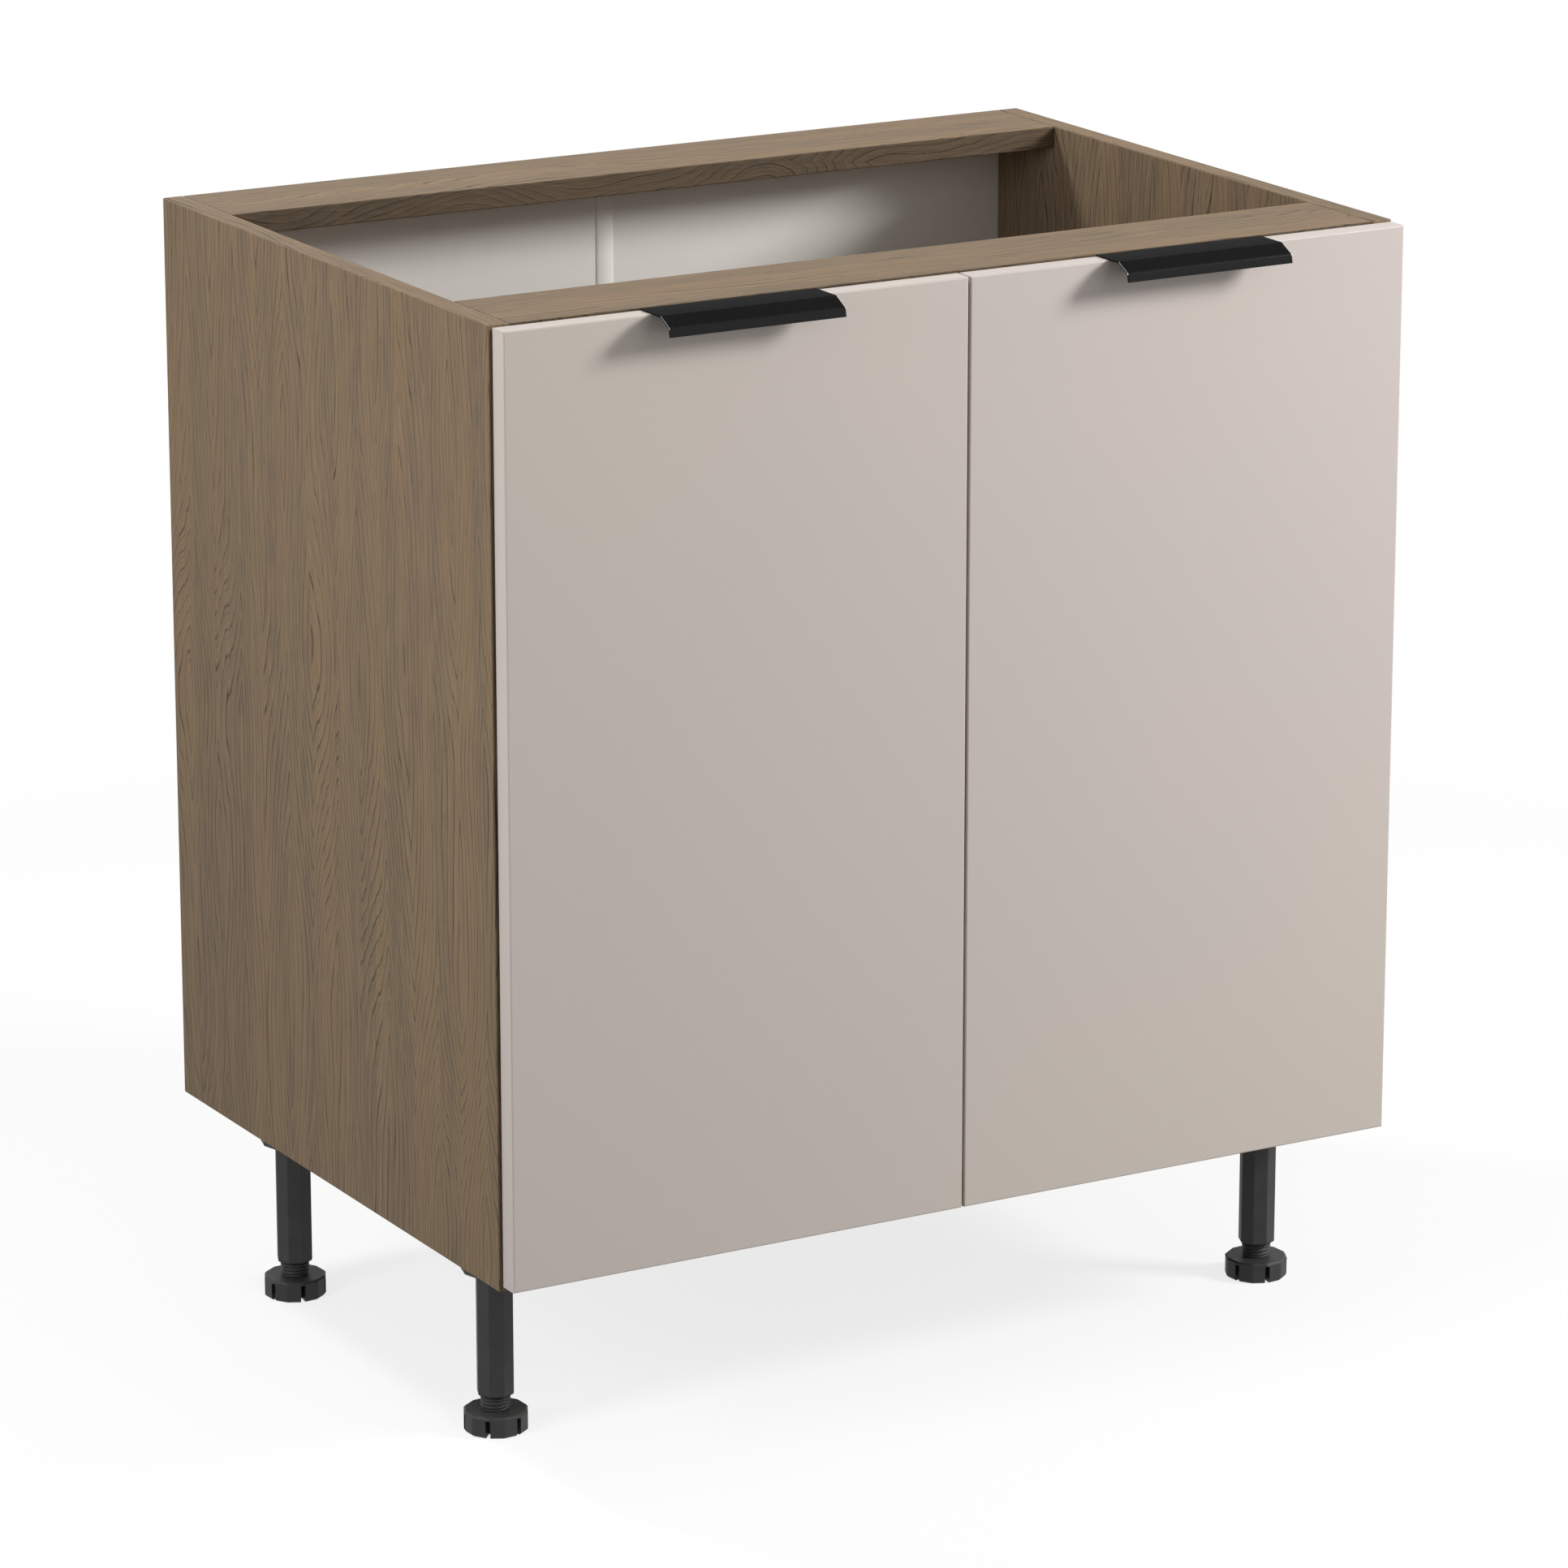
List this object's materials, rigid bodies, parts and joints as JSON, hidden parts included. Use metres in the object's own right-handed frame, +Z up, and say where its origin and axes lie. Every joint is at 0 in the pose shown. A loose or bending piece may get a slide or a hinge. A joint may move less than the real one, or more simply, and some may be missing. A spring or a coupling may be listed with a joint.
{
  "type": "kitchen base cabinet",
  "caption": "Kitchen base cabinet with hinged doors on concealed cup hinges, edge-pull handles, an open top between rails, an inner shelf and adjustable legs.",
  "frame": {"origin": "on the floor, under the middle of the whole cabinet", "axes": "+X to the right along the width, the doors face -Y, +Z up"},
  "size_m": [0.8, 0.6126, 0.9],
  "materials": {
    "oak_board": "matt grey-brown oak-effect board",
    "door_film": "satin warm greige film on fibreboard",
    "white_board": "white lacquered thin fibreboard",
    "white_plastic": "satin white plastic",
    "black_metal": "black anodised, satin, bright cut ends",
    "black_plastic": "moulded black plastic, fine grain",
    "nickel_steel": "nickel plated",
    "zinc": "bright zinc",
    "beech": "plain beech",
    "clear_pad": "soft translucent pad"
  },
  "bodies": {
    "carcass": {"back_joining_strip": "white_plastic", "back_panel_left": "white_board", "back_panel_nails": "nickel_steel", "back_panel_right": "white_board", "bottom_panel": "oak_board", "cam_bolts": "zinc", "cam_locks": "zinc", "front_top_rail": "oak_board", "hinge_arm_left_lower": "nickel_steel", "hinge_arm_left_upper": "nickel_steel", "hinge_arm_pins": "nickel_steel", "hinge_arm_right_lower": "nickel_steel", "hinge_arm_right_upper": "nickel_steel", "hinge_arm_screws": "nickel_steel", "hinge_plate_left_lower": "nickel_steel", "hinge_plate_left_upper": "nickel_steel", "hinge_plate_right_lower": "nickel_steel", "hinge_plate_right_upper": "nickel_steel", "hinge_plate_screws": "nickel_steel", "leg_post_front_left": "black_plastic", "leg_post_front_right": "black_plastic", "leg_post_rear_left": "black_plastic", "leg_post_rear_right": "black_plastic", "leg_socket_front_left": "black_plastic", "leg_socket_front_right": "black_plastic", "leg_socket_rear_left": "black_plastic", "leg_socket_rear_right": "black_plastic", "leg_socket_screws": "nickel_steel", "rear_top_rail": "oak_board", "shelf": "oak_board", "shelf_pins": "nickel_steel", "side_panel_left": "oak_board", "side_panel_right": "oak_board", "wooden_dowels": "beech"},
    "hinge_links_left": {"hinge_links_left": "nickel_steel"},
    "door_left": {"door_left": "door_film", "handle_left": "black_metal", "handle_screws_left": "nickel_steel", "door_bumpers_left": "clear_pad", "hinge_cup_left_lower": "nickel_steel", "hinge_cup_left_upper": "nickel_steel", "hinge_cup_pins_left": "nickel_steel", "hinge_cup_screws_left": "nickel_steel"},
    "hinge_links_right": {"hinge_links_right": "nickel_steel"},
    "door_right": {"door_right": "door_film", "handle_right": "black_metal", "handle_screws_right": "nickel_steel", "door_bumpers_right": "clear_pad", "hinge_cup_right_lower": "nickel_steel", "hinge_cup_right_upper": "nickel_steel", "hinge_cup_pins_right": "nickel_steel", "hinge_cup_screws_right": "nickel_steel"},
    "foot_front_left": {"leg_foot_front_left": "black_plastic"},
    "foot_front_right": {"leg_foot_front_right": "black_plastic"},
    "foot_rear_left": {"leg_foot_rear_left": "black_plastic"},
    "foot_rear_right": {"leg_foot_rear_right": "black_plastic"}
  },
  "joints": [
    {"name": "hinge_links_left_turn", "type": "hinge", "parent": "carcass", "child": "hinge_links_left", "pos_m": [-0.3635, -0.25235, 0.52685], "axis": [0, 0, -1], "range_deg": [-33.25, 0]},
    {"name": "door_left_swing", "type": "hinge", "parent": "hinge_links_left", "child": "door_left", "pos_m": [-0.387, -0.26565, 0.52685], "axis": [0, 0, -1], "range_deg": [0, 128.25]},
    {"name": "hinge_links_right_turn", "type": "hinge", "parent": "carcass", "child": "hinge_links_right", "pos_m": [0.3635, -0.25235, 0.52685], "axis": [0, 0, 1], "range_deg": [-33.25, 0]},
    {"name": "door_right_swing", "type": "hinge", "parent": "hinge_links_right", "child": "door_right", "pos_m": [0.387, -0.26565, 0.52685], "axis": [0, 0, 1], "range_deg": [0, 128.25]},
    {"name": "foot_front_left_height", "type": "slide", "parent": "carcass", "child": "foot_front_left", "axis": [0, 0, 1], "range_m": [-0.02, 0.008]},
    {"name": "foot_front_right_height", "type": "slide", "parent": "carcass", "child": "foot_front_right", "axis": [0, 0, 1], "range_m": [-0.02, 0.008]},
    {"name": "foot_rear_left_height", "type": "slide", "parent": "carcass", "child": "foot_rear_left", "axis": [0, 0, 1], "range_m": [-0.02, 0.008]},
    {"name": "foot_rear_right_height", "type": "slide", "parent": "carcass", "child": "foot_rear_right", "axis": [0, 0, 1], "range_m": [-0.02, 0.008]}
  ],
  "couplings": [
    {"joint": "hinge_links_left_turn", "follows": "door_left_swing", "ratio": -0.25926},
    {"joint": "hinge_links_right_turn", "follows": "door_right_swing", "ratio": -0.25926}
  ]
}
